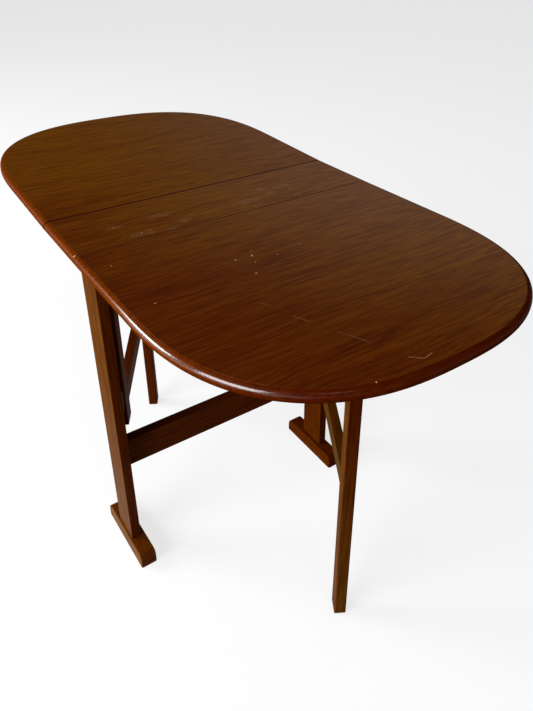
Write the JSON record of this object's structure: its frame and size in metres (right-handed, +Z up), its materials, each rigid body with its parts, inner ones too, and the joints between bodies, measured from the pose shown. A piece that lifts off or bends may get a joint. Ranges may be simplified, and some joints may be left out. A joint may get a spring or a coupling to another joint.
{
  "type": "gateleg folding table",
  "caption": "Oblong drop-leaf table with rounded ends: a narrow centre board on two end posts, and two leaves that rest on swinging gate legs.",
  "frame": {"origin": "on the floor under the middle of the top", "axes": "+X along the table towards the near leaf, +Y along the seams towards the right post, +Z up"},
  "size_m": [1.1778, 0.592, 0.7459],
  "materials": {
    "veneer": "red-brown veneer, satin lacquer",
    "lipping": "redder solid wood edging, satin lacquer",
    "frame_wood": "red-brown stained hardwood, satin lacquer",
    "block_wood": "plain stained softwood",
    "dowel_beech": "plain beech",
    "hinge_brass": "dark bronzed steel",
    "screw_steel": "dark bronzed steel"
  },
  "bodies": {
    "frame": {"centre_board": "veneer", "centre_lippings": "lipping", "right_post": "frame_wood", "left_post": "frame_wood", "right_foot": "frame_wood", "left_foot": "frame_wood", "stretcher": "frame_wood", "upper_rail": "frame_wood", "stretcher_dowels": "dowel_beech", "upper_rail_dowels": "dowel_beech", "upper_rail_screws": "screw_steel", "foot_dowels": "dowel_beech", "near_seam_hinge_plates": "hinge_brass", "near_seam_hinge_pins": "hinge_brass", "near_seam_hinge_screws": "screw_steel", "near_gate_post_plates": "hinge_brass", "near_gate_hinge_pins": "hinge_brass", "near_gate_post_screws": "screw_steel", "far_seam_hinge_plates": "hinge_brass", "far_seam_hinge_pins": "hinge_brass", "far_seam_hinge_screws": "screw_steel", "far_gate_post_plates": "hinge_brass", "far_gate_hinge_pins": "hinge_brass", "far_gate_post_screws": "screw_steel"},
    "near_leaf": {"near_leaf_board": "veneer", "near_leaf_lipping": "lipping", "near_leaf_hinge_plates": "hinge_brass", "near_leaf_hinge_screws": "screw_steel", "near_leaf_bearer_block": "block_wood", "near_leaf_stop_block": "block_wood", "near_leaf_block_screws": "screw_steel"},
    "near_gate": {"near_gate_leg": "frame_wood", "near_gate_stile": "frame_wood", "near_gate_lower_rail": "frame_wood", "near_gate_top_rail": "frame_wood", "near_gate_dowels": "dowel_beech", "near_gate_hinge_plates": "hinge_brass", "near_gate_hinge_screws": "screw_steel"},
    "far_leaf": {"far_leaf_board": "veneer", "far_leaf_lipping": "lipping", "far_leaf_hinge_plates": "hinge_brass", "far_leaf_hinge_screws": "screw_steel", "far_leaf_bearer_block": "block_wood", "far_leaf_stop_block": "block_wood", "far_leaf_block_screws": "screw_steel"},
    "far_gate": {"far_gate_leg": "frame_wood", "far_gate_stile": "frame_wood", "far_gate_lower_rail": "frame_wood", "far_gate_top_rail": "frame_wood", "far_gate_dowels": "dowel_beech", "far_gate_hinge_plates": "hinge_brass", "far_gate_hinge_screws": "screw_steel"}
  },
  "joints": [
    {"name": "near_leaf_lift", "type": "hinge", "parent": "frame", "child": "near_leaf", "pos_m": [0.07425, 0, 0.7094], "axis": [0, -1, 0], "range_deg": [0, 2.5]},
    {"name": "far_leaf_lift", "type": "hinge", "parent": "frame", "child": "far_leaf", "pos_m": [-0.07425, 0, 0.7094], "axis": [0, 1, 0], "range_deg": [0, 1.5]},
    {"name": "near_gate_swing", "type": "hinge", "parent": "frame", "child": "near_gate", "pos_m": [0.031, 0.2347, 0.4], "axis": [0, 0, -1], "range_deg": [0, 59.5]},
    {"name": "far_gate_swing", "type": "hinge", "parent": "frame", "child": "far_gate", "pos_m": [-0.031, -0.2347, 0.4], "axis": [0, 0, -1], "range_deg": [0, 59.5]}
  ]
}
